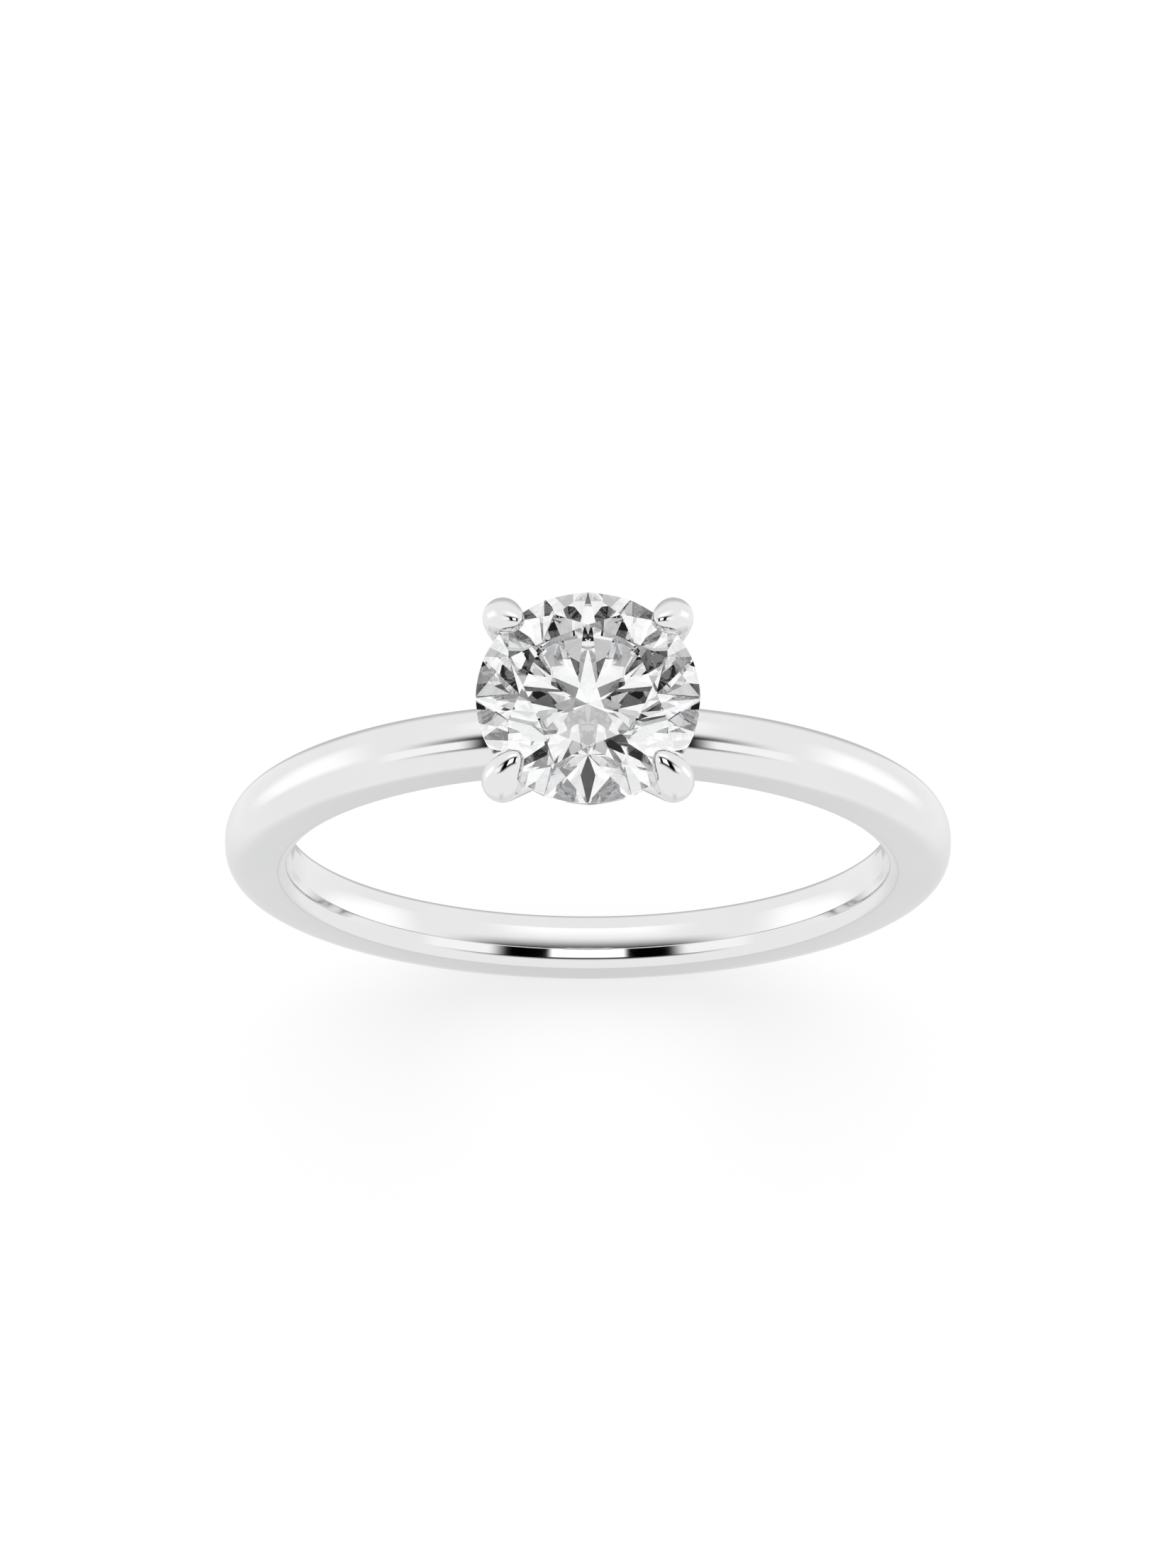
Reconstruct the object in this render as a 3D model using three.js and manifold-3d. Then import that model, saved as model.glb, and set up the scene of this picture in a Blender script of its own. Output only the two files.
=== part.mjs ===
// A four-claw solitaire engagement ring, built up from the pieces a goldsmith solders together:
// shank, collet, gallery rail, four claws, and the brilliant-cut diamond that the claws hold.
// Millimetres. The origin is the finger hole's centre, +Y is the finger's axis, +Z points at the stone.

import * as THREE from "three";
import { mergeVertices } from "three/addons/utils/BufferGeometryUtils.js";
import Module from "manifold-3d";

// Shank: a soft D-like band of one section all the way round. Heights in the section are from the bore.
const FINGER_CIRCUMFERENCE = 52.5; // between European ring sizes 52 and 53
const SHANK_THICKNESS = 1.874; // radial, at mid width
const SHANK_WIDTH = 1.66;
const BORE_LAND = { halfWidth: 0.33, height: 0.015 }; // edge of the crowned land that meets the finger
const BORE_RELIEF = { halfWidth: 0.53, height: 0.07 }; // outer edge of the shallow bevel beside the land
const EDGE_ROUND_HEIGHT = 0.35; // from the bevel to the flat side
const SHOULDER_HEIGHT = 1.144; // where the flat side ends and the domed back starts
const DOME_SQUARENESS_RADIAL = 2.6; // superellipse exponents of the domed back
const DOME_SQUARENESS_AXIAL = 2.3;

// Diamond: a round brilliant, by the proportions of an ideal cut.
const STONE_DIAMETER = 5.8;
const GIRDLE_ABOVE_CREST = 2.06; // mid girdle over the highest point of the shank
const TABLE_SHARE = 0.575; // of the stone's diameter, corner to corner
const CROWN_ANGLE = 34.5;
const PAVILION_ANGLE = 40.9;
const GIRDLE_SHARE = 0.03; // girdle thickness where facet edges meet it, of the diameter
const STAR_LENGTH = 0.5;
const LOWER_HALF_LENGTH = 0.77;
const STONE_FOLD = 8;
const GIRDLE_FACETS = 96;

// Claws: tapered round wire, bent in at the foot, in line with the pavilion, and over the girdle.
const CLAW_TIP_RADIUS = 0.505;
const CLAW_FOOT_RADIUS = 0.34;
const CLAW_TIP_DOME = 1.1; // length over which the tip rounds off
const CLAW_TIP_FULLNESS = 1.7; // 2 would make the tip half an ellipsoid, and less makes it more pointed
const CLAW_STANDS_AT = 3.17; // centreline to the stone's axis, beside the girdle
const CLAW_LEG_ANGLE = 52; // slope of the leg below the girdle
const CLAW_CORNER_BELOW_GIRDLE = 0.4; // where the leg's line meets the upright's
const CLAW_CORNER_LENGTH = 0.26; // of upright, and of leg, that the bend takes
const CLAW_TIP_CORNER = 0.2; // height over mid girdle at which the upright leans in
const CLAW_TIP_CORNER_LENGTH = 0.3; // of upright, and of leaning tip, that the bend takes
const CLAW_TIP = { radius: 2.5, up: 0.8 }; // end of the centreline, up from mid girdle
const CLAW_FOOT_BEND = { radius: 2.05, length: 0.45 }; // start of the foot's bend, and its first arm
const CLAW_FOOT = { radius: 1.15, belowCrest: 0.3 }; // end of the centreline
const CLAW_ANGLES = {
  claw_back_right: 45,
  claw_back_left: 135,
  claw_front_left: 225,
  claw_front_right: 315,
};
const SEAT_CLEARANCE = 0.01; // between the stone and the metal that holds it

// Gallery rail: round wire, half-lapped into the claws.
const RAIL_WIRE_RADIUS = 0.25;
const RAIL_RADIUS = 2.03;
const RAIL_BELOW_GIRDLE = 1.4;

// Collet: a short open cone, filed out underneath to sit astride the shank.
const COLLET_FOOT_RADIUS = 1.12;
const COLLET_RIM_RADIUS = 1.72;
const COLLET_WALL = 0.3;
const COLLET_FOOT_BELOW_CREST = 0.53;
const COLLET_RIM_ABOVE_CREST = 0.16;
const COLLET_RIM_BEVEL = 0.05;

// Countersink in the shank's crest, which clears the point of the stone.
const COUNTERSINK_GAP = 0.12; // below the culet, and beside the pavilion

// Mesh fineness.
const SHANK_STEPS = 96;
const DOME_STEPS = 16;
const EDGE_STEPS = 4;
const RAIL_STEPS = 48;
const RAIL_SIDES = 10;
const COLLET_STEPS = 48;
const COUNTERSINK_STEPS = 24;
const CLAW_SIDES = 14;
const CLAW_STEPS = 20;
const CLAW_DOME_STEPS = 6;

const radians = THREE.MathUtils.degToRad;
const boreRadius = FINGER_CIRCUMFERENCE / (2 * Math.PI);
const crestRadius = boreRadius + SHANK_THICKNESS;
const stoneRadius = STONE_DIAMETER / 2;
const girdleZ = crestRadius + GIRDLE_ABOVE_CREST;
const girdleTopZ = girdleZ + (GIRDLE_SHARE * STONE_DIAMETER) / 2;
const girdleBottomZ = girdleZ - (GIRDLE_SHARE * STONE_DIAMETER) / 2;
const tableRadius = TABLE_SHARE * stoneRadius;
const crownSlope = Math.tan(radians(CROWN_ANGLE));
const pavilionSlope = Math.tan(radians(PAVILION_ANGLE));
const tableZ = girdleTopZ + (stoneRadius - tableRadius) * crownSlope;
const culetZ = girdleBottomZ - stoneRadius * pavilionSlope;

const whiteGold = () =>
  new THREE.MeshStandardMaterial({ color: 0xdcdcdd, roughness: 0.08, metalness: 1 });
const diamondMaterial = () =>
  new THREE.MeshStandardMaterial({ color: 0xf4f6f8, roughness: 0.0, metalness: 0 });

const wasm = await Module();
wasm.setup();

// A closed three.js geometry as a solid that can be cut and joined.
function solidOf(geometry) {
  const bare = geometry.index ? geometry.toNonIndexed() : geometry.clone();
  bare.deleteAttribute("normal");
  bare.deleteAttribute("uv");
  const merged = mergeVertices(bare, 1e-5);
  return new wasm.Manifold(
    new wasm.Mesh({
      numProp: 3,
      vertProperties: merged.attributes.position.array,
      triVerts: new Uint32Array(merged.index.array),
    }),
  );
}

function meshOf(name, solid, material) {
  const result = solid.getMesh();
  const geometry = new THREE.BufferGeometry();
  geometry.setAttribute("position", new THREE.BufferAttribute(result.vertProperties, 3));
  geometry.setIndex(new THREE.BufferAttribute(result.triVerts, 1));
  geometry.computeVertexNormals();
  const mesh = new THREE.Mesh(geometry, material);
  mesh.name = name;
  return mesh;
}

// A profile of (radius, height) points turned round the Z axis.
function turned(profile, steps) {
  return new THREE.LatheGeometry(profile, steps).rotateX(Math.PI / 2);
}

// Points of a superellipse's quarter-to-quarter arc, from its low side over its far point to its high side.
function domePoints(centreRadius, depth, halfWidth) {
  const points = [];
  for (let i = 0; i <= DOME_STEPS; i++) {
    const angle = -Math.PI / 2 + (Math.PI * i) / DOME_STEPS;
    const out = Math.cos(angle) ** (2 / DOME_SQUARENESS_RADIAL);
    const along = Math.abs(Math.sin(angle)) ** (2 / DOME_SQUARENESS_AXIAL);
    points.push(
      new THREE.Vector2(
        centreRadius + depth * (i % DOME_STEPS ? out : 0),
        halfWidth * Math.sign(angle) * along,
      ),
    );
  }
  return points;
}

// Half of the bore's side of the section: from the flat side round the edge and down the bevel to the land.
function edgePoints(halfWidth) {
  const land = new THREE.Vector2(boreRadius + BORE_LAND.height, BORE_LAND.halfWidth);
  const relief = new THREE.Vector2(boreRadius + BORE_RELIEF.height, BORE_RELIEF.halfWidth);
  const slope = (relief.x - land.x) / (relief.y - land.y);
  const corner = new THREE.Vector2(relief.x + (halfWidth - relief.y) * slope, halfWidth);
  const side = new THREE.Vector2(relief.x + EDGE_ROUND_HEIGHT, halfWidth);
  return [...new THREE.QuadraticBezierCurve(side, corner, relief).getPoints(EDGE_STEPS), land];
}

function shankBand() {
  const halfWidth = SHANK_WIDTH / 2;
  const shoulder = boreRadius + SHOULDER_HEIGHT;
  const dome = domePoints(shoulder, crestRadius - shoulder, halfWidth);
  const highEdge = edgePoints(halfWidth);
  const lowEdge = highEdge.map((p) => new THREE.Vector2(p.x, -p.y)).reverse();
  const profile = [...dome, ...highEdge, new THREE.Vector2(boreRadius, 0), ...lowEdge, dome[0]];
  return solidOf(new THREE.LatheGeometry(profile, SHANK_STEPS));
}

const colletFootZ = crestRadius - COLLET_FOOT_BELOW_CREST;
const colletRimZ = crestRadius + COLLET_RIM_ABOVE_CREST;

// A cone between the collet's foot and rim, with a wall's thickness taken off it.
function colletCone(inset, bevel) {
  return solidOf(
    turned(
      [
        new THREE.Vector2(0, colletFootZ),
        new THREE.Vector2(COLLET_FOOT_RADIUS - inset, colletFootZ),
        new THREE.Vector2(COLLET_RIM_RADIUS - inset, colletRimZ - bevel),
        new THREE.Vector2(COLLET_RIM_RADIUS - inset - bevel, colletRimZ),
        new THREE.Vector2(0, colletRimZ),
      ],
      COLLET_STEPS,
    ),
  );
}

function countersink() {
  const pointZ = culetZ - COUNTERSINK_GAP / Math.cos(radians(PAVILION_ANGLE));
  const depth = crestRadius + COLLET_RIM_ABOVE_CREST - pointZ;
  return solidOf(
    turned(
      [
        new THREE.Vector2(0, pointZ),
        new THREE.Vector2(depth / pavilionSlope, pointZ + depth),
        new THREE.Vector2(0, pointZ + depth),
      ],
      COUNTERSINK_STEPS,
    ),
  );
}

function galleryRing() {
  const ring = new THREE.TorusGeometry(RAIL_RADIUS, RAIL_WIRE_RADIUS, RAIL_SIDES, RAIL_STEPS);
  return solidOf(ring.translate(0, 0, girdleZ - RAIL_BELOW_GIRDLE));
}

// The claw's centreline, in its own plane: x is the distance from the stone's axis, y the height.
function clawPath() {
  const slope = Math.tan(radians(CLAW_LEG_ANGLE));
  const corner = new THREE.Vector2(CLAW_STANDS_AT, girdleZ - CLAW_CORNER_BELOW_GIRDLE);
  const onLeg = (radius) => new THREE.Vector2(radius, corner.y + (radius - corner.x) * slope);
  const down = new THREE.Vector2(-Math.cos(radians(CLAW_LEG_ANGLE)), -Math.sin(radians(CLAW_LEG_ANGLE)));
  const foot = new THREE.Vector2(CLAW_FOOT.radius, crestRadius - CLAW_FOOT.belowCrest);
  const footBend = onLeg(CLAW_FOOT_BEND.radius);
  const footCorner = footBend.clone().addScaledVector(down, CLAW_FOOT_BEND.length);
  const legTop = corner.clone().addScaledVector(down, CLAW_CORNER_LENGTH);
  const upright = new THREE.Vector2(corner.x, corner.y + CLAW_CORNER_LENGTH);
  const tipCorner = new THREE.Vector2(corner.x, girdleZ + CLAW_TIP_CORNER);
  const tip = new THREE.Vector2(CLAW_TIP.radius, girdleZ + CLAW_TIP.up);
  const inwards = tip.clone().sub(tipCorner).normalize();
  const tipBend = new THREE.Vector2(tipCorner.x, tipCorner.y - CLAW_TIP_CORNER_LENGTH);
  const leaning = tipCorner.clone().addScaledVector(inwards, CLAW_TIP_CORNER_LENGTH);
  const path = new THREE.CurvePath();
  path.add(new THREE.QuadraticBezierCurve(foot, footCorner, footBend));
  path.add(new THREE.LineCurve(footBend, legTop));
  path.add(new THREE.QuadraticBezierCurve(legTop, corner, upright));
  path.add(new THREE.LineCurve(upright, tipBend));
  path.add(new THREE.QuadraticBezierCurve(tipBend, tipCorner, leaning));
  path.add(new THREE.LineCurve(leaning, tip));
  return path;
}

// The claw's radius at each step of its length: a slight taper, then a domed tip.
function clawProfile(length) {
  const shaft = length - CLAW_TIP_DOME;
  const points = [new THREE.Vector2(0, 0)];
  for (let i = 0; i <= CLAW_STEPS; i++) {
    const share = i / CLAW_STEPS;
    const radius = THREE.MathUtils.lerp(CLAW_FOOT_RADIUS, CLAW_TIP_RADIUS, share);
    points.push(new THREE.Vector2(radius, shaft * share));
  }
  for (let i = 1; i <= CLAW_DOME_STEPS; i++) {
    const share = i < CLAW_DOME_STEPS ? Math.sin((Math.PI / 2) * (i / CLAW_DOME_STEPS)) : 1;
    const radius = CLAW_TIP_RADIUS * Math.sqrt(1 - share ** CLAW_TIP_FULLNESS);
    points.push(new THREE.Vector2(radius, shaft + CLAW_TIP_DOME * share));
  }
  return points;
}

// A straight turned wire, bent so that its axis follows the claw's centreline in the XZ plane.
function clawWire() {
  const path = clawPath();
  const length = path.getLength();
  const wire = new THREE.LatheGeometry(clawProfile(length), CLAW_SIDES);
  const places = wire.getAttribute("position");
  for (let i = 0; i < places.count; i++) {
    const share = Math.min(places.getY(i) / length, 1);
    const centre = path.getPointAt(share);
    const along = path.getTangentAt(share);
    const aside = places.getX(i);
    places.setXYZ(i, centre.x + along.y * aside, -places.getZ(i), centre.y - along.x * aside);
  }
  return solidOf(wire);
}

// The plane through three points of the stone, facing away from its middle.
function facetPlane(a, b, c) {
  const plane = new THREE.Plane().setFromCoplanarPoints(a, b, c);
  const middle = new THREE.Vector3(0, 0, girdleZ);
  return plane.distanceToPoint(middle) > 0 ? plane.negate() : plane;
}

function stonePoint(radius, degrees, z) {
  const angle = radians(degrees);
  return new THREE.Vector3(radius * Math.cos(angle), radius * Math.sin(angle), z);
}

// One plane for each facet of the brilliant, above and below the girdle.
function facetPlanes() {
  const turn = 360 / STONE_FOLD;
  const half = turn / 2;
  const tableEdge = tableRadius * Math.cos(radians(half));
  const starRadius = THREE.MathUtils.lerp(tableEdge, stoneRadius, STAR_LENGTH);
  const starZ = tableZ - (starRadius * Math.cos(radians(half)) - tableRadius) * crownSlope;
  const lowerRadius = stoneRadius * (1 - LOWER_HALF_LENGTH);
  const lowerZ = culetZ + lowerRadius * Math.cos(radians(half)) * pavilionSlope;
  const culet = new THREE.Vector3(0, 0, culetZ);
  const planes = [new THREE.Plane(new THREE.Vector3(0, 0, 1), -tableZ)];
  for (let i = 0; i < STONE_FOLD; i++) {
    const a = i * turn;
    const tableCorner = stonePoint(tableRadius, a, tableZ);
    const nextCorner = stonePoint(tableRadius, a + turn, tableZ);
    const star = stonePoint(starRadius, a + half, starZ);
    const lastStar = stonePoint(starRadius, a - half, starZ);
    const low = stonePoint(lowerRadius, a + half, lowerZ);
    const lastLow = stonePoint(lowerRadius, a - half, lowerZ);
    planes.push(facetPlane(tableCorner, star, lastStar));
    planes.push(facetPlane(tableCorner, nextCorner, star));
    planes.push(facetPlane(culet, low, lastLow));
    for (const [side, starTip, lowTip] of [[half, star, low], [-half, lastStar, lastLow]]) {
      const rim = (z) => [stonePoint(stoneRadius, a, z), stonePoint(stoneRadius, a + side, z)];
      planes.push(facetPlane(starTip, ...rim(girdleTopZ)));
      planes.push(facetPlane(lowTip, ...rim(girdleBottomZ)));
    }
  }
  return planes;
}

// The stone is cut from a round blank, one facet after another. A margin leaves it larger all over.
function cutStone(margin) {
  const blankHeight = (tableZ - culetZ) * 2;
  const radius = (stoneRadius + margin) / Math.cos(Math.PI / GIRDLE_FACETS);
  const blank = new THREE.CylinderGeometry(radius, radius, blankHeight, GIRDLE_FACETS);
  let stone = solidOf(blank.rotateX(Math.PI / 2).translate(0, 0, girdleZ));
  for (const plane of facetPlanes()) {
    const inward = plane.normal.clone().negate();
    stone = stone.trimByPlane(inward.toArray(), plane.constant - margin);
  }
  return stone;
}

const stoneSeat = cutStone(SEAT_CLEARANCE);
const cone = colletCone(0, COLLET_RIM_BEVEL);
const band = shankBand().subtract(countersink());
const collet = cone.subtract(colletCone(COLLET_WALL, 0)).subtract(band);
const claws = {};
for (const [name, degrees] of Object.entries(CLAW_ANGLES))
  claws[name] = clawWire().rotate([0, 0, degrees]);

// Each half-lap leaves the rail its inner half, and the claw its outer half.
const lapCore = solidOf(
  new THREE.CylinderGeometry(RAIL_RADIUS, RAIL_RADIUS, 4 * RAIL_WIRE_RADIUS, RAIL_STEPS)
    .rotateX(Math.PI / 2)
    .translate(0, 0, girdleZ - RAIL_BELOW_GIRDLE),
);
let rail = galleryRing().subtract(stoneSeat);
for (const claw of Object.values(claws)) rail = rail.subtract(claw.subtract(lapCore));

const ring = new THREE.Group();
const head = new THREE.Group();
ring.add(meshOf("shank", band, whiteGold()));
head.add(meshOf("head_collet", collet, whiteGold()));
head.add(meshOf("gallery_rail", rail, whiteGold()));
for (const [name, claw] of Object.entries(claws)) {
  const fitted = claw.subtract(stoneSeat).subtract(cone).subtract(band).subtract(rail);
  head.add(meshOf(name, fitted, whiteGold()));
}
head.add(meshOf("diamond", cutStone(0), diamondMaterial()));
ring.add(head);

export default ring;
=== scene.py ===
"""The looks of a four-claw solitaire ring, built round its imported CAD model.

Every metal piece is made again as a finely divided surface of the same size as its CAD solid, because a
mirror finish shows each facet. The stone is cut again from a round blank, one plane for each facet.
Metres, in the frame of the CAD: the finger hole's centre is the origin, +Y is along the finger and +Z
points at the stone.
"""

import math

import bmesh
import bpy
import numpy as np
from mathutils import Matrix, Vector


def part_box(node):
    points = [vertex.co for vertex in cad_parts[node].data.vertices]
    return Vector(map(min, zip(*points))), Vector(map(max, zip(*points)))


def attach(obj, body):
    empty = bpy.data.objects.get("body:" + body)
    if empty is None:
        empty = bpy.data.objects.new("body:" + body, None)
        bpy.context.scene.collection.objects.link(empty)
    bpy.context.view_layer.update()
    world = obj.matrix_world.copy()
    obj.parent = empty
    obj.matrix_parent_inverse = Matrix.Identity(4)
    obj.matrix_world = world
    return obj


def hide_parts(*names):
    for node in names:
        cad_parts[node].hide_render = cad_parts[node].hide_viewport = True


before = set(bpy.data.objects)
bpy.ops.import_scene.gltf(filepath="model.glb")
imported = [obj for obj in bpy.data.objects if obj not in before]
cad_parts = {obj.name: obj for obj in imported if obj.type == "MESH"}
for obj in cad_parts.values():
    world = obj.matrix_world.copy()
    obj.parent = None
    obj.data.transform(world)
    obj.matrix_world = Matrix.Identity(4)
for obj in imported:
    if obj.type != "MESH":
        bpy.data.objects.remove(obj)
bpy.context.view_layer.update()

MM = 0.001

# Shank.
BORE_RADIUS = 52.5 * MM / (2 * math.pi)
SHANK_THICKNESS = 1.874 * MM
BORE_LAND_HALF_WIDTH = 0.33 * MM
BORE_LAND_HEIGHT = 0.015 * MM
BORE_RELIEF_HALF_WIDTH = 0.53 * MM
BORE_RELIEF_HEIGHT = 0.07 * MM
EDGE_ROUND_HEIGHT = 0.35 * MM
SHOULDER_HEIGHT = 1.144 * MM
DOME_SQUARENESS_RADIAL = 2.6
DOME_SQUARENESS_AXIAL = 2.3
CREST = BORE_RADIUS + SHANK_THICKNESS
HALF_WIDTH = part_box("shank")[1].y

# Stone.
STONE_RADIUS = 2.9 * MM
GIRDLE_Z = CREST + 2.06 * MM
GIRDLE_THICKNESS = 0.174 * MM
TABLE_RADIUS = 0.575 * STONE_RADIUS
CROWN_SLOPE = math.tan(math.radians(34.5))
PAVILION_ANGLE = math.radians(40.9)
PAVILION_SLOPE = math.tan(PAVILION_ANGLE)
STAR_LENGTH = 0.5
LOWER_HALF_LENGTH = 0.77
STONE_FOLD = 8
GIRDLE_FACETS = 96
GIRDLE_TOP = GIRDLE_Z + GIRDLE_THICKNESS / 2
GIRDLE_BOTTOM = GIRDLE_Z - GIRDLE_THICKNESS / 2
TABLE_Z = GIRDLE_TOP + (STONE_RADIUS - TABLE_RADIUS) * CROWN_SLOPE
CULET_Z = GIRDLE_BOTTOM - STONE_RADIUS * PAVILION_SLOPE

# Claws.
CLAW_TIP_RADIUS = 0.505 * MM
CLAW_FOOT_RADIUS = 0.34 * MM
CLAW_TIP_DOME = 1.1 * MM
CLAW_TIP_FULLNESS = 1.7
CLAW_STANDS_AT = 3.17 * MM
CLAW_LEG_ANGLE = math.radians(52)
CLAW_CORNER = Vector((CLAW_STANDS_AT, GIRDLE_Z - 0.4 * MM))
CLAW_CORNER_LENGTH = 0.26 * MM
CLAW_TIP_CORNER = Vector((CLAW_STANDS_AT, GIRDLE_Z + 0.2 * MM))
CLAW_TIP_CORNER_LENGTH = 0.3 * MM
CLAW_TIP = Vector((2.5 * MM, GIRDLE_Z + 0.8 * MM))
CLAW_FOOT_BEND_RADIUS = 2.05 * MM
CLAW_FOOT_BEND_LENGTH = 0.45 * MM
CLAW_FOOT = Vector((1.15 * MM, CREST - 0.3 * MM))
CLAW_ANGLES = {
    "claw_back_right": 45,
    "claw_back_left": 135,
    "claw_front_left": 225,
    "claw_front_right": 315,
}
SEAT_CLEARANCE = 0.01 * MM

# Gallery rail.
RAIL_WIRE_RADIUS = 0.25 * MM
RAIL_RADIUS = 2.03 * MM
RAIL_Z = GIRDLE_Z - 1.4 * MM

# Collet.
COLLET_FOOT_RADIUS = 1.12 * MM
COLLET_RIM_RADIUS = 1.72 * MM
COLLET_WALL = 0.3 * MM
COLLET_FOOT_Z = CREST - 0.53 * MM
COLLET_RIM_Z = CREST + 0.16 * MM
COLLET_RIM_BEVEL = 0.05 * MM
COUNTERSINK_GAP = 0.12 * MM

# Camera, floor and lamp.
CAMERA_ELEVATION = math.radians(70.58)
CAMERA_DISTANCE = 129.9 * MM
CAMERA_TARGET = Vector((0, 0, 5.6 * MM))
CAMERA_LENS = 109.8
CAMERA_SENSOR = 36
FLOOR_REACH = 2.0
FLOOR_TONE = 0.25
FLOOR_GLOW = 0.67
LAMP_POWER = 1.7
LAMP_SPREAD = math.radians(60)
LAMP_TILT = math.radians(32)
STONE_SURROUNDINGS = 0.08

# Fineness of the surfaces.
SHANK_STEPS = 360
DOME_STEPS = 64
EDGE_STEPS = 24
BEVEL_STEPS = 8
BORE_STEPS = 12
WIRE_SIDES = 64
CLAW_STEPS = 90
CLAW_BEND_STEPS = 60
CLAW_LEG_STEPS = 60
CLAW_UPRIGHT_STEPS = 20
CLAW_LEAN_STEPS = 40
CLAW_DOME_STEPS = 24
RAIL_STEPS = 192
COLLET_STEPS = 160
SHARP_ANGLE = math.radians(28)
FACET_SLACK = 1e-9


# --- Camera, floor and light ---------------------------------------------------------------------


def make_camera():
    data = bpy.data.cameras.new("camera")
    data.lens = CAMERA_LENS
    data.sensor_width = CAMERA_SENSOR
    data.clip_start = 1 * MM
    data.clip_end = 10
    camera = bpy.data.objects.new("camera", data)
    back = Vector((0, -math.cos(CAMERA_ELEVATION), math.sin(CAMERA_ELEVATION)))
    camera.location = CAMERA_TARGET + back * CAMERA_DISTANCE
    camera.rotation_euler = back.to_track_quat("Z", "Y").to_euler()
    bpy.context.scene.collection.objects.link(camera)
    bpy.context.scene.camera = camera


def node_after(tree, kind, links=(), **settings):
    """A new node with its settings, and inputs linked from (input name, output socket) pairs."""
    node = tree.nodes.new(kind)
    for key, value in settings.items():
        setattr(node, key, value)
    for name, output in links:
        tree.links.new(output, node.inputs[name])
    return node


def feed(tree, socket, value):
    """Sets the input socket to a number, or links it from an output socket."""
    if isinstance(value, (int, float)):
        socket.default_value = value
    else:
        tree.links.new(value, socket)


def maths(tree, operation, *values):
    node = node_after(tree, "ShaderNodeMath", operation=operation)
    for socket, value in zip(node.inputs, values):
        feed(tree, socket, value)
    return node.outputs[0]


def horizontal_reach(tree, x, y):
    """Distance of (x, y) from the Z axis."""
    squares = maths(tree, "ADD", maths(tree, "POWER", x, 2), maths(tree, "POWER", y, 2))
    return maths(tree, "SQRT", squares)


def between(tree, value, low, high, start=0.3, end=0.7, **settings):
    """low to high as value goes from start to end."""
    node = node_after(tree, "ShaderNodeMapRange", links=[("Value", value)], **settings)
    for name, number in zip(("From Min", "From Max", "To Min", "To Max"), (start, end, low, high)):
        node.inputs[name].default_value = number
    return node.outputs["Result"]


def inside(tree, value, centre, half, soft):
    """1 where value is within half of centre, falling to 0 over soft beyond that."""
    away = maths(tree, "ABSOLUTE", maths(tree, "SUBTRACT", value, centre))
    return between(tree, away, 1, 0, start=half, end=half + soft, interpolation_type="SMOOTHSTEP")


def blend(tree, under, over, mask):
    """under where mask is 0, over where it is 1. Each is a number or an output socket."""
    node = node_after(tree, "ShaderNodeMix", data_type="FLOAT")
    for name, value in (("Factor", mask), ("A", under), ("B", over)):
        feed(tree, node.inputs[name], value)
    return node.outputs["Result"]


def mirror_studio(tree, right, back, polar):
    """What polished metal sees. The two offsets and the polar angle are degrees from overhead."""
    side = maths(tree, "ABSOLUTE", right)

    def card(under, over, centre, half, soft):
        mask = maths(
            tree,
            "MULTIPLY",
            inside(tree, side, centre[0], half[0], soft[0]),
            inside(tree, back, centre[1], half[1], soft[1]),
        )
        return blend(tree, under, over, mask)

    # White all round, dimmer straight below.
    light = blend(tree, 1.03, 0.87, inside(tree, polar, 180, 18, 24))
    # Grey low in front, and a broad grey card low behind.
    light = card(light, 0.78, centre=(0, -158), half=(4, 14), soft=(34, 26))
    light = card(light, 0.62, centre=(0, 145), half=(60, 25), soft=(28, 38))
    # Bright level with the ring on both sides, and bright high behind.
    light = card(light, 1.3, centre=(96, 20), half=(10, 8), soft=(22, 22))
    light = card(light, 1.3, centre=(0, 32), half=(16, 5), soft=(30, 12))
    # Overhead, a black frame, a bright card on both sides of it and the lamp in its middle.
    light = card(light, 0.0, centre=(0, -8), half=(29, 14), soft=(34, 13))
    light = card(light, 1.15, centre=(50, -10), half=(10, 10), soft=(9, 5))
    return card(light, 1.6, centre=(0, -7), half=(13, 10), soft=(3, 3))


def stone_studio(tree, right, back, polar):
    """What rays that leave the stone meet: white light, broken by grey and black screens."""
    side = maths(tree, "ABSOLUTE", right)
    turn = maths(tree, "ARCTAN2", back, right)

    def screens(under, over, count, phase, width, centre, half):
        wave = maths(tree, "SINE", maths(tree, "MULTIPLY_ADD", turn, count, phase))
        spokes = inside(tree, wave, -1, width, 0.1)
        mask = maths(tree, "MULTIPLY", spokes, inside(tree, polar, centre, half, 3))
        return blend(tree, under, over, mask)

    def card(under, over, centre, half):
        across = inside(tree, side, centre[0], half[0], 3)
        mask = maths(tree, "MULTIPLY", across, inside(tree, back, centre[1], half[1], 3))
        return blend(tree, under, over, mask)

    light = screens(1.2, 0.6, count=6, phase=4.5, width=0.6, centre=21, half=9)
    light = screens(light, 0.01, count=5, phase=0.6, width=0.5, centre=33, half=9)
    light = card(light, 0.7, centre=(0, 18), half=(13, 11))
    light = card(light, 0.0, centre=(17, 0), half=(5, 7))
    light = screens(light, 0.35, count=7, phase=1.0, width=0.6, centre=50, half=10)
    return blend(tree, light, 0.75, inside(tree, polar, 180, 80, 6))


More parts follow.
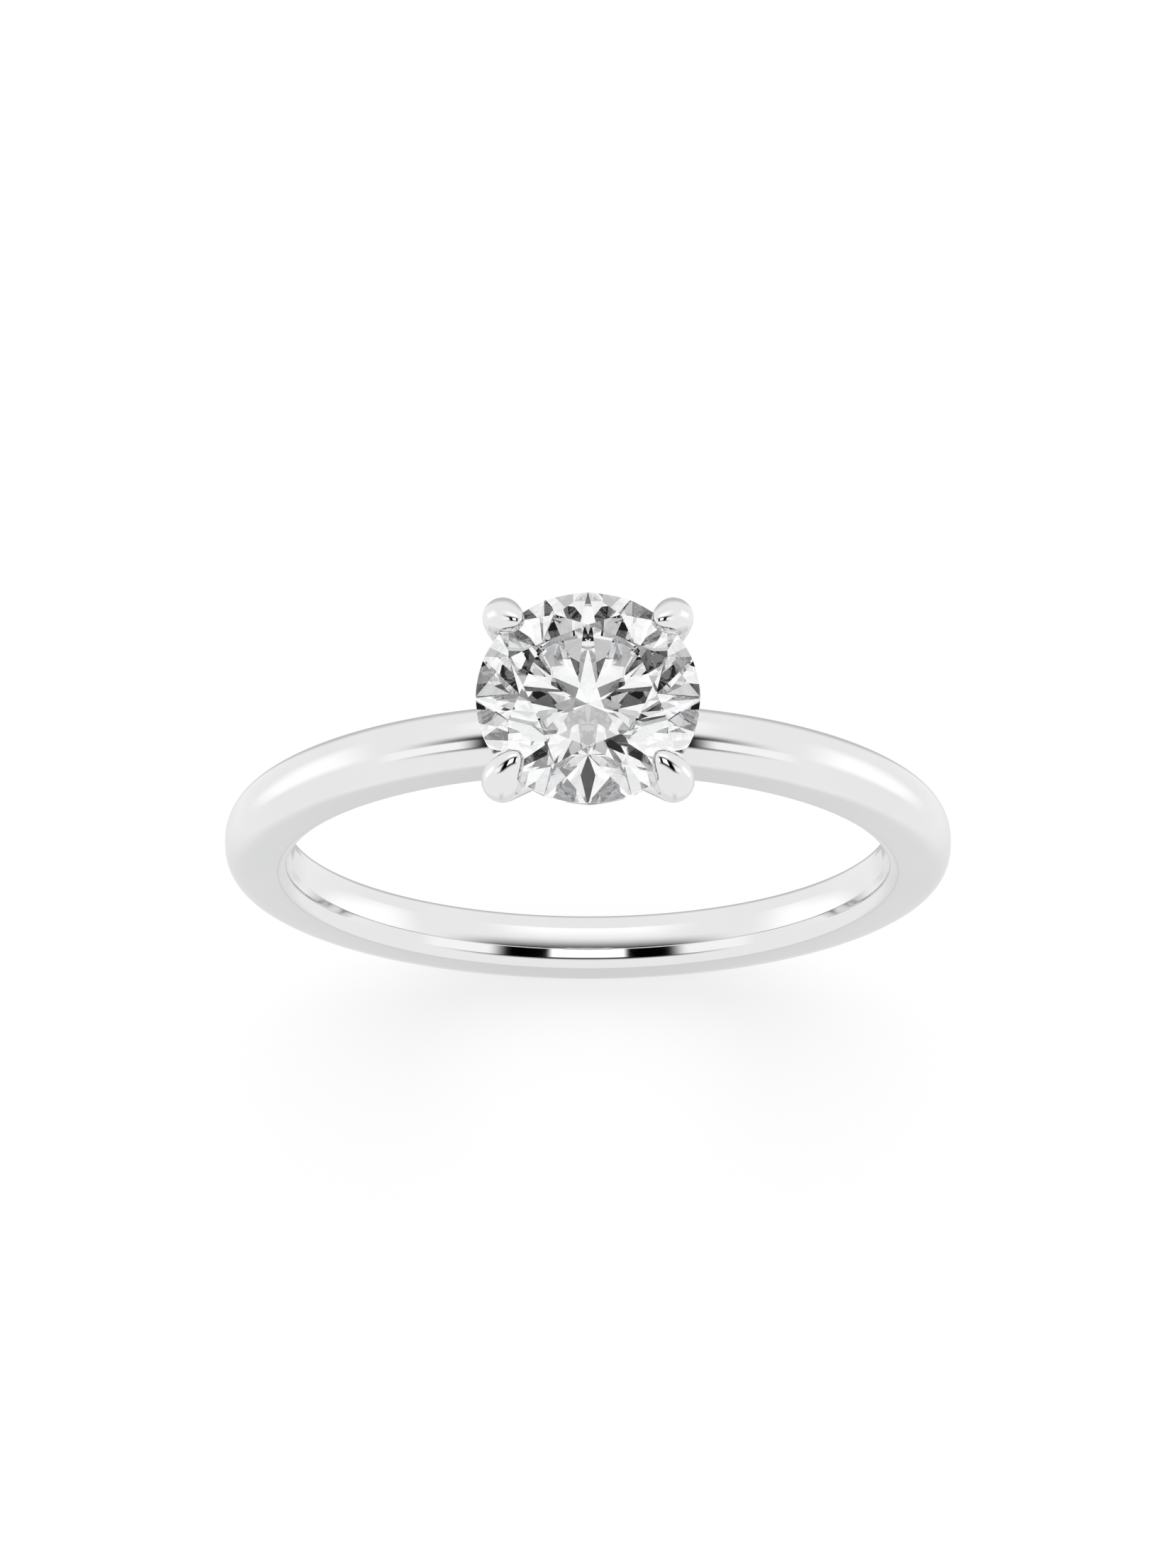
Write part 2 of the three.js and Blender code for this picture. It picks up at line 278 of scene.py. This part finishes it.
def make_world():
    """A white studio, with a lamp overhead in a dark frame for the metal's reflections."""
    world = bpy.data.worlds.new("studio")
    bpy.context.scene.world = world
    world.use_nodes = True
    tree = world.node_tree
    tree.nodes.clear()
    direction = tree.nodes.new("ShaderNodeTexCoord").outputs["Generated"]
    parts = node_after(tree, "ShaderNodeSeparateXYZ", links=[("Vector", direction)])
    x, y, z = (parts.outputs[k] for k in range(3))
    level = horizontal_reach(tree, x, y)
    polar = maths(tree, "MULTIPLY", maths(tree, "ARCTAN2", level, z), math.degrees(1))
    share = maths(tree, "DIVIDE", polar, maths(tree, "MAXIMUM", level, 1e-6))
    right = maths(tree, "MULTIPLY", x, share)
    back = maths(tree, "MULTIPLY", y, share)
    path = tree.nodes.new("ShaderNodeLightPath")
    light = blend(tree, 1.0, mirror_studio(tree, right, back, polar), path.outputs["Is Glossy Ray"])
    # Rays off the outside of the stone's polished facets are singular, and meet a dim room.
    light = blend(tree, light, STONE_SURROUNDINGS, path.outputs["Is Singular Ray"])
    stone = stone_studio(tree, right, back, polar)
    light = blend(tree, light, stone, path.outputs["Is Transmission Ray"])
    background = node_after(tree, "ShaderNodeBackground", links=[("Strength", light)])
    background.inputs["Color"].default_value = (1, 1, 1, 1)
    node_after(tree, "ShaderNodeOutputWorld", links=[("Surface", background.outputs[0])])


def make_floor():
    mesh = bpy.data.meshes.new("floor")
    signs = ((-1, -1), (1, -1), (1, 1), (-1, 1))
    corners = [(x * FLOOR_REACH, y * FLOOR_REACH, 0) for x, y in signs]
    mesh.from_pydata(corners, [], [(0, 1, 2, 3)])
    floor = bpy.data.objects.new("floor", mesh)
    floor.location.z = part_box("shank")[0].z
    floor.visible_glossy = False
    floor.visible_transmission = False
    bpy.context.scene.collection.objects.link(floor)
    material = bpy.data.materials.new("floor")
    material.use_nodes = True
    shader = material.node_tree.nodes["Principled BSDF"]
    shader.inputs["Base Color"].default_value = (FLOOR_TONE, FLOOR_TONE, FLOOR_TONE, 1)
    shader.inputs["Roughness"].default_value = 1.0
    shader.inputs["Specular IOR Level"].default_value = 0.0
    shader.inputs["Emission Color"].default_value = (1, 1, 1, 1)
    shader.inputs["Emission Strength"].default_value = FLOOR_GLOW
    mesh.materials.append(material)


def make_lamp():
    """A broad soft lamp above and behind, for the faint shadow on the floor."""
    data = bpy.data.lights.new("soft_lamp", "SUN")
    data.energy = LAMP_POWER
    data.angle = LAMP_SPREAD
    lamp = bpy.data.objects.new("soft_lamp", data)
    back = Vector((0, math.sin(LAMP_TILT), math.cos(LAMP_TILT)))
    lamp.rotation_euler = back.to_track_quat("Z", "Y").to_euler()
    lamp.visible_glossy = False
    lamp.visible_transmission = False
    bpy.context.scene.collection.objects.link(lamp)


# --- Materials -----------------------------------------------------------------------------------


def object_position(tree):
    return tree.nodes.new("ShaderNodeTexCoord").outputs["Object"]


def noise(tree, position, size, detail, stretch=(1, 1, 1)):
    """Noise with features about size metres across, drawn out where stretch is below 1."""
    mapping = node_after(tree, "ShaderNodeMapping", links=[("Vector", position)])
    mapping.inputs["Scale"].default_value = stretch
    node = node_after(tree, "ShaderNodeTexNoise", links=[("Vector", mapping.outputs[0])])
    node.inputs["Scale"].default_value = 1 / size
    node.inputs["Detail"].default_value = detail
    return node.outputs[0]


def polished_metal():
    """Rhodium plate: a mirror with a faint haze, the wave left by the mop, and hairline wiping marks."""
    material = bpy.data.materials.new("polished_white_gold")
    material.use_nodes = True
    tree = material.node_tree
    shader = tree.nodes["Principled BSDF"]
    position = object_position(tree)
    shader.inputs["Metallic"].default_value = 1.0
    cloud = noise(tree, position, size=1.6 * MM, detail=3)
    tone = node_after(tree, "ShaderNodeMix", links=[("Factor", between(tree, cloud, 0, 1))], data_type="RGBA")
    tone.inputs["A"].default_value = (0.785, 0.785, 0.79, 1)
    tone.inputs["B"].default_value = (0.765, 0.767, 0.775, 1)
    tree.links.new(tone.outputs["Result"], shader.inputs["Base Color"])
    hairlines = noise(tree, position, size=0.05 * MM, detail=4, stretch=(0.08, 1, 0.08))
    haze = between(tree, noise(tree, position, size=0.7 * MM, detail=4), 0.045, 0.075)
    rubbed = between(tree, hairlines, 0, 0.03, start=0.55, end=0.75)
    tree.links.new(maths(tree, "ADD", haze, rubbed), shader.inputs["Roughness"])
    wave = noise(tree, position, size=0.9 * MM, detail=1)
    relief = maths(tree, "MULTIPLY_ADD", hairlines, 0.004, maths(tree, "MULTIPLY", wave, 0.1))
    bump = node_after(tree, "ShaderNodeBump", links=[("Height", relief)])
    bump.inputs["Strength"].default_value = 0.5
    bump.inputs["Distance"].default_value = 0.02 * MM
    tree.links.new(bump.outputs["Normal"], shader.inputs["Normal"])
    return material


def diamond():
    """Clear stone with polished facets, and a girdle left finely ground between bands of facet edges."""
    material = bpy.data.materials.new("diamond")
    material.use_nodes = True
    tree = material.node_tree
    shader = tree.nodes["Principled BSDF"]
    position = object_position(tree)
    parts = node_after(tree, "ShaderNodeSeparateXYZ", links=[("Vector", position)])
    x, y, z = (parts.outputs[k] for k in range(3))
    reach = horizontal_reach(tree, x, y)
    rim = inside(tree, reach, STONE_RADIUS, 0.004 * MM, 0.004 * MM)
    belt = maths(tree, "MULTIPLY", rim, inside(tree, z, GIRDLE_Z, GIRDLE_THICKNESS, 0.02 * MM))
    frost = between(tree, noise(tree, position, size=0.03 * MM, detail=2), 0.05, 0.16)
    tree.links.new(blend(tree, 0, frost, belt), shader.inputs["Roughness"])
    cloud = noise(tree, position, size=0.8 * MM, detail=2)
    tone = node_after(tree, "ShaderNodeMix", links=[("Factor", between(tree, cloud, 0, 1))], data_type="RGBA")
    tone.inputs["A"].default_value = (1, 1, 1, 1)
    tone.inputs["B"].default_value = (0.985, 0.99, 1, 1)
    tree.links.new(tone.outputs["Result"], shader.inputs["Base Color"])
    shader.inputs["Transmission Weight"].default_value = 1.0
    shader.inputs["IOR"].default_value = 2.42
    return material


# --- Shapes --------------------------------------------------------------------------------------


def new_object(name, mesh):
    piece = bpy.data.objects.new(name, mesh)
    bpy.context.scene.collection.objects.link(piece)
    return piece


def mesh_of(name, verts, faces):
    mesh = bpy.data.meshes.new(name)
    mesh.from_pydata([tuple(v) for v in verts], [], faces)
    mesh.validate()
    shape = bmesh.new()
    shape.from_mesh(mesh)
    bmesh.ops.recalc_face_normals(shape, faces=shape.faces)
    shape.to_mesh(mesh)
    shape.free()
    return mesh


def turned(name, profile, steps, closed):
    """profile, points of (radius, height), turned round Z. An open profile starts and ends on the axis."""
    profile = np.array(profile, float)
    angles = np.arange(steps) * 2 * math.pi / steps
    inner = profile if closed else profile[1:-1]
    count = len(inner)
    rings = np.stack(
        [
            np.outer(np.cos(angles), inner[:, 0]),
            np.outer(np.sin(angles), inner[:, 0]),
            np.tile(inner[:, 1], (steps, 1)),
        ],
        axis=-1,
    ).reshape(-1, 3)
    verts = list(rings)
    faces = []
    for i in range(steps):
        j = (i + 1) % steps
        for k in range(count if closed else count - 1):
            m = (k + 1) % count
            faces.append((i * count + k, j * count + k, j * count + m, i * count + m))
    if not closed:
        low, high = len(verts), len(verts) + 1
        verts += [(0, 0, profile[0, 1]), (0, 0, profile[-1, 1])]
        for i in range(steps):
            j = (i + 1) % steps
            faces.append((low, j * count, i * count))
            faces.append((high, i * count + count - 1, j * count + count - 1))
    return mesh_of(name, verts, faces)


def shank_profile():
    """The band's section, as (radius, place along the finger)."""
    points = []
    shoulder = BORE_RADIUS + SHOULDER_HEIGHT
    for i in range(DOME_STEPS + 1):
        angle = -math.pi / 2 + math.pi * i / DOME_STEPS
        out = abs(math.cos(angle)) ** (2 / DOME_SQUARENESS_RADIAL) if i % DOME_STEPS else 0
        along = abs(math.sin(angle)) ** (2 / DOME_SQUARENESS_AXIAL)
        points.append((shoulder + (CREST - shoulder) * out, math.copysign(HALF_WIDTH * along, angle)))
    relief = (BORE_RADIUS + BORE_RELIEF_HEIGHT, BORE_RELIEF_HALF_WIDTH)
    land = (BORE_RADIUS + BORE_LAND_HEIGHT, BORE_LAND_HALF_WIDTH)
    slope = (relief[0] - land[0]) / (relief[1] - land[1])
    corner = (relief[0] + (HALF_WIDTH - relief[1]) * slope, HALF_WIDTH)
    side = (relief[0] + EDGE_ROUND_HEIGHT, HALF_WIDTH)
    edge = [tuple(p) for p in quadratic(side, corner, relief, EDGE_STEPS)]
    edge += [tuple(p) for p in quadratic(relief, np.add(relief, land) / 2, land, BEVEL_STEPS)[1:-1]]
    points += edge
    for i in range(BORE_STEPS + 1):
        share = 1 - 2 * i / BORE_STEPS
        points.append((BORE_RADIUS + BORE_LAND_HEIGHT * share**2, BORE_LAND_HALF_WIDTH * share))
    points += [(radius, -along) for radius, along in reversed(edge)]
    return points


def quadratic(start, corner, end, steps):
    shares = np.linspace(0, 1, steps + 1)[:, None]
    start, corner, end = (np.array(p) for p in (start, corner, end))
    return (1 - shares) ** 2 * start + 2 * shares * (1 - shares) * corner + shares**2 * end


def claw_path():
    """The claw's centreline as closely spaced points of (distance from the stone's axis, height)."""
    down = Vector((-math.cos(CLAW_LEG_ANGLE), -math.sin(CLAW_LEG_ANGLE)))
    slope = math.tan(CLAW_LEG_ANGLE)
    foot_bend = Vector(
        (CLAW_FOOT_BEND_RADIUS, CLAW_CORNER.y + (CLAW_FOOT_BEND_RADIUS - CLAW_CORNER.x) * slope)
    )
    leg_top = CLAW_CORNER + down * CLAW_CORNER_LENGTH
    upright = CLAW_CORNER + Vector((0, CLAW_CORNER_LENGTH))
    tip_bend = CLAW_TIP_CORNER - Vector((0, CLAW_TIP_CORNER_LENGTH))
    leaning = CLAW_TIP_CORNER + (CLAW_TIP - CLAW_TIP_CORNER).normalized() * CLAW_TIP_CORNER_LENGTH
    parts = [
        quadratic(CLAW_FOOT, foot_bend + down * CLAW_FOOT_BEND_LENGTH, foot_bend, CLAW_BEND_STEPS),
        quadratic(foot_bend, (foot_bend + leg_top) / 2, leg_top, CLAW_LEG_STEPS),
        quadratic(leg_top, CLAW_CORNER, upright, CLAW_BEND_STEPS),
        quadratic(upright, (upright + tip_bend) / 2, tip_bend, CLAW_UPRIGHT_STEPS),
        quadratic(tip_bend, CLAW_TIP_CORNER, leaning, CLAW_BEND_STEPS),
        quadratic(leaning, (leaning + CLAW_TIP) / 2, CLAW_TIP, CLAW_LEAN_STEPS),
    ]
    return np.concatenate([parts[0]] + [part[1:] for part in parts[1:]])


def claw_profile(length):
    """(radius, place along the wire) from the foot to the tip, with a point on the axis at each end."""
    shaft = length - CLAW_TIP_DOME
    points = [(0, 0)]
    for i in range(CLAW_STEPS + 1):
        share = i / CLAW_STEPS
        radius = CLAW_FOOT_RADIUS + (CLAW_TIP_RADIUS - CLAW_FOOT_RADIUS) * share
        points.append((radius, shaft * share))
    for i in range(1, CLAW_DOME_STEPS):
        share = math.sin(math.pi / 2 * i / CLAW_DOME_STEPS)
        radius = CLAW_TIP_RADIUS * math.sqrt(1 - share**CLAW_TIP_FULLNESS)
        points.append((radius, shaft + CLAW_TIP_DOME * share))
    points.append((0, length))
    return points


def claw_wire(name, degrees):
    path = claw_path()
    pieces = np.linalg.norm(np.diff(path, axis=0), axis=1)
    travelled = np.concatenate([[0], np.cumsum(pieces)])
    mesh = turned(name, claw_profile(travelled[-1]), WIRE_SIDES, closed=False)
    tangents = np.gradient(path, travelled, axis=0)
    tangents /= np.linalg.norm(tangents, axis=1)[:, None]
    turn = Matrix.Rotation(math.radians(degrees), 3, "Z")
    for vertex in mesh.vertices:
        aside, across, along = vertex.co
        centre = [np.interp(along, travelled, path[:, k]) for k in (0, 1)]
        heading = [np.interp(along, travelled, tangents[:, k]) for k in (0, 1)]
        vertex.co = turn @ Vector(
            (centre[0] + heading[1] * aside, across, centre[1] - heading[0] * aside)
        )
    return new_object(name, mesh)


def cut(piece, *cutters):
    """Takes the cutters' volume out of piece."""
    for cutter in cutters:
        modifier = piece.modifiers.new("cut", "BOOLEAN")
        modifier.operation = "DIFFERENCE"
        modifier.solver = "MANIFOLD"
        modifier.object = cutter
        result = bpy.data.meshes.new_from_object(
            piece.evaluated_get(bpy.context.evaluated_depsgraph_get())
        )
        piece.modifiers.clear()
        piece.data = result


def cone_profile(inset, bevel):
    return [
        (0, COLLET_FOOT_Z),
        (COLLET_FOOT_RADIUS - inset, COLLET_FOOT_Z),
        (COLLET_RIM_RADIUS - inset, COLLET_RIM_Z - bevel),
        (COLLET_RIM_RADIUS - inset - bevel, COLLET_RIM_Z),
        (0, COLLET_RIM_Z),
    ]


def facet_planes():
    """(point, outward normal) of each facet, above and below the girdle."""
    turn = 2 * math.pi / STONE_FOLD
    half = turn / 2

    def at(radius, angle, z):
        return Vector((radius * math.cos(angle), radius * math.sin(angle), z))

    def plane(a, b, c):
        normal = (b - a).cross(c - a).normalized()
        outward = (a - Vector((0, 0, GIRDLE_Z))).dot(normal) > 0
        return a, normal if outward else -normal

    star_radius = (TABLE_RADIUS * math.cos(half) + STONE_RADIUS) * STAR_LENGTH
    star_z = TABLE_Z - (star_radius * math.cos(half) - TABLE_RADIUS) * CROWN_SLOPE
    low_radius = STONE_RADIUS * (1 - LOWER_HALF_LENGTH)
    low_z = CULET_Z + low_radius * math.cos(half) * PAVILION_SLOPE
    culet = Vector((0, 0, CULET_Z))
    planes = [(Vector((0, 0, TABLE_Z)), Vector((0, 0, 1)))]
    for i in range(STONE_FOLD):
        a = i * turn
        corner = at(TABLE_RADIUS, a, TABLE_Z)
        stars = [at(star_radius, a + side, star_z) for side in (half, -half)]
        lows = [at(low_radius, a + side, low_z) for side in (half, -half)]
        planes.append(plane(corner, *stars))
        planes.append(plane(corner, at(TABLE_RADIUS, a + turn, TABLE_Z), stars[0]))
        planes.append(plane(culet, *lows))
        for side, star, low in zip((half, -half), stars, lows):
            for tip, z in ((star, GIRDLE_TOP), (low, GIRDLE_BOTTOM)):
                planes.append(plane(tip, at(STONE_RADIUS, a, z), at(STONE_RADIUS, a + side, z)))
    return planes


def cut_stone(name, margin):
    """The brilliant, cut from a round blank. margin leaves it larger all over."""
    radius = (STONE_RADIUS + margin) / math.cos(math.pi / GIRDLE_FACETS)
    shape = bmesh.new()
    bmesh.ops.create_cone(
        shape,
        cap_ends=True,
        segments=GIRDLE_FACETS,
        radius1=radius,
        radius2=radius,
        depth=2 * (TABLE_Z - CULET_Z),
        matrix=Matrix.Translation((0, 0, GIRDLE_Z)),
    )
    for point, normal in facet_planes():
        every = shape.verts[:] + shape.edges[:] + shape.faces[:]
        found = bmesh.ops.bisect_plane(
            shape,
            geom=every,
            dist=FACET_SLACK,
            plane_co=point + normal * margin,
            plane_no=normal,
            clear_outer=True,
        )
        rim = [e for e in found["geom_cut"] if isinstance(e, bmesh.types.BMEdge)]
        bmesh.ops.contextual_create(shape, geom=rim)
    bmesh.ops.recalc_face_normals(shape, faces=shape.faces)
    mesh = bpy.data.meshes.new(name)
    shape.to_mesh(mesh)
    shape.free()
    return new_object(name, mesh)


# --- The ring ------------------------------------------------------------------------------------


def finish_piece(piece, material, node, smooth=True):
    piece.data.materials.clear()
    piece.data.materials.append(material)
    for polygon in piece.data.polygons:
        polygon.use_smooth = smooth
    if smooth:
        piece.data.set_sharp_from_angle(angle=SHARP_ANGLE)
    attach(piece, "root")
    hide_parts(node)


def make_ring():
    metal = polished_metal()
    stone = cut_stone("brilliant", 0)
    seat = cut_stone("seat", SEAT_CLEARANCE)
    cone = new_object("cone", turned("cone", cone_profile(0, COLLET_RIM_BEVEL), COLLET_STEPS, False))
    hollow = new_object("hollow", turned("hollow", cone_profile(COLLET_WALL, 0), COLLET_STEPS, False))
    drill_z = CULET_Z - COUNTERSINK_GAP / math.cos(PAVILION_ANGLE)
    depth = COLLET_RIM_Z - drill_z
    drill_profile = [(0, drill_z), (depth / PAVILION_SLOPE, COLLET_RIM_Z), (0, COLLET_RIM_Z)]
    drill = new_object("drill", turned("drill", drill_profile, COLLET_STEPS, False))
    band_mesh = turned("band", shank_profile(), SHANK_STEPS, True)
    band_mesh.transform(Matrix.Rotation(-math.pi / 2, 4, "X"))
    band = new_object("band", band_mesh)
    cut(band, drill)
    collet = new_object("collet", cone.data.copy())
    cut(collet, hollow, band)

    wire = []
    for i in range(WIRE_SIDES):
        angle = 2 * math.pi * i / WIRE_SIDES
        out = RAIL_RADIUS + RAIL_WIRE_RADIUS * math.cos(angle)
        wire.append((out, RAIL_Z + RAIL_WIRE_RADIUS * math.sin(angle)))
    rail = new_object("rail", turned("rail", wire, RAIL_STEPS, True))
    low, high = (RAIL_Z + 2 * side * RAIL_WIRE_RADIUS for side in (-1, 1))
    core_profile = [(0, low), (RAIL_RADIUS, low), (RAIL_RADIUS, high), (0, high)]
    core = new_object("core", turned("core", core_profile, RAIL_STEPS, False))
    claws = []
    for node, degrees in CLAW_ANGLES.items():
        claw = claw_wire(node + "_wire", degrees)
        cut(claw, seat)
        outer = new_object("outer", claw.data.copy())
        cut(outer, core)
        cut(rail, outer)
        bpy.data.objects.remove(outer)
        claws.append((node, claw))
    for node, claw in claws:
        cut(claw, cone, band, rail)
        finish_piece(claw, metal, node)
    for helper in (seat, cone, hollow, drill, core):
        bpy.data.objects.remove(helper)
    finish_piece(band, metal, "shank")
    finish_piece(collet, metal, "head_collet")
    finish_piece(rail, metal, "gallery_rail")
    finish_piece(stone, diamond(), "diamond", smooth=False)


make_camera()
make_world()
make_floor()
make_lamp()
make_ring()

view = bpy.context.scene.view_settings
view.view_transform = "Standard"
cycles = bpy.context.scene.cycles
cycles.max_bounces = 24
cycles.transmission_bounces = 20
cycles.glossy_bounces = 12
